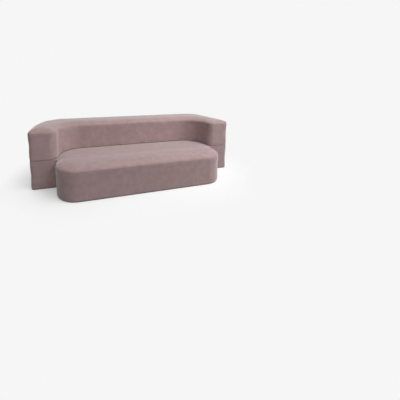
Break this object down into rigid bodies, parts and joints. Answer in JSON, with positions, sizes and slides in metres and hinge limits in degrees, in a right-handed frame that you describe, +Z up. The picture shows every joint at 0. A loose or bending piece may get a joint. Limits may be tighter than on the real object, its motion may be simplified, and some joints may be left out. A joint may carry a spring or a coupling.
{
  "type": "sofa bed",
  "caption": "Low foam sofa with a U-shaped back block that flips forward on cloth hinges round the seat to make one flat mattress.",
  "frame": {"origin": "middle of the footprint on the floor, in the sofa state", "axes": "+X to the right seen from the front, +Y to the rear, +Z up; the seat faces -Y"},
  "size_m": [2, 0.987, 0.532],
  "materials": {
    "cover_fabric": "soft brushed plush",
    "zip_tape": "flat woven tape",
    "floor_cloth": "grippy dotted cloth",
    "support_foam": "open-cell firm foam",
    "comfort_foam": "open-cell soft foam",
    "zip_coil": "satin moulded coil",
    "zip_metal": "satin painted"
  },
  "bodies": {
    "base": {"base_foam_core": "support_foam", "base_comfort_foam": "comfort_foam", "base_top_cover": "cover_fabric", "base_front_cover": "cover_fabric", "base_rear_cover_upper": "cover_fabric", "base_rear_cover_lower": "cover_fabric", "base_floor_panel": "floor_cloth", "base_zip_tape": "zip_tape", "base_zip_coil": "zip_coil", "base_zip_lip": "cover_fabric", "left_hinge_base_leaf": "cover_fabric", "right_hinge_base_leaf": "cover_fabric"},
    "back": {"back_foam_core": "support_foam", "back_comfort_foam": "comfort_foam", "back_top_cover": "cover_fabric", "back_inner_cover": "cover_fabric", "back_rear_cover_upper": "cover_fabric", "back_rear_cover_lower": "cover_fabric", "back_underside_cover": "cover_fabric", "back_zip_tape": "zip_tape", "back_zip_coil": "zip_coil", "back_zip_lip": "cover_fabric", "left_hinge_back_leaf": "cover_fabric", "right_hinge_back_leaf": "cover_fabric"},
    "base_slider": {"base_zip_slider": "zip_metal"},
    "base_pull": {"base_zip_pull": "zip_metal"},
    "back_slider": {"back_zip_slider": "zip_metal"},
    "back_pull": {"back_zip_pull": "zip_metal"}
  },
  "joints": [
    {"name": "back_fold", "type": "hinge", "parent": "base", "child": "back", "pos_m": [0, -0.208, 0.2615], "axis": [1, 0, 0], "range_deg": [0, 180]},
    {"name": "base_zip_slide", "type": "slide", "parent": "base", "child": "base_slider", "axis": [-1, 0, 0], "range_m": [0, 1.534]},
    {"name": "back_zip_slide", "type": "slide", "parent": "back", "child": "back_slider", "axis": [-1, 0, 0], "range_m": [0, 1.534]},
    {"name": "base_pull_swing", "type": "hinge", "parent": "base_slider", "child": "base_pull", "pos_m": [0.767, 0.48886, 0.13], "axis": [0, 0, -1], "range_deg": [0, 180]},
    {"name": "back_pull_swing", "type": "hinge", "parent": "back_slider", "child": "back_pull", "pos_m": [0.767, 0.48886, 0.393], "axis": [0, 0, -1], "range_deg": [0, 180]}
  ]
}
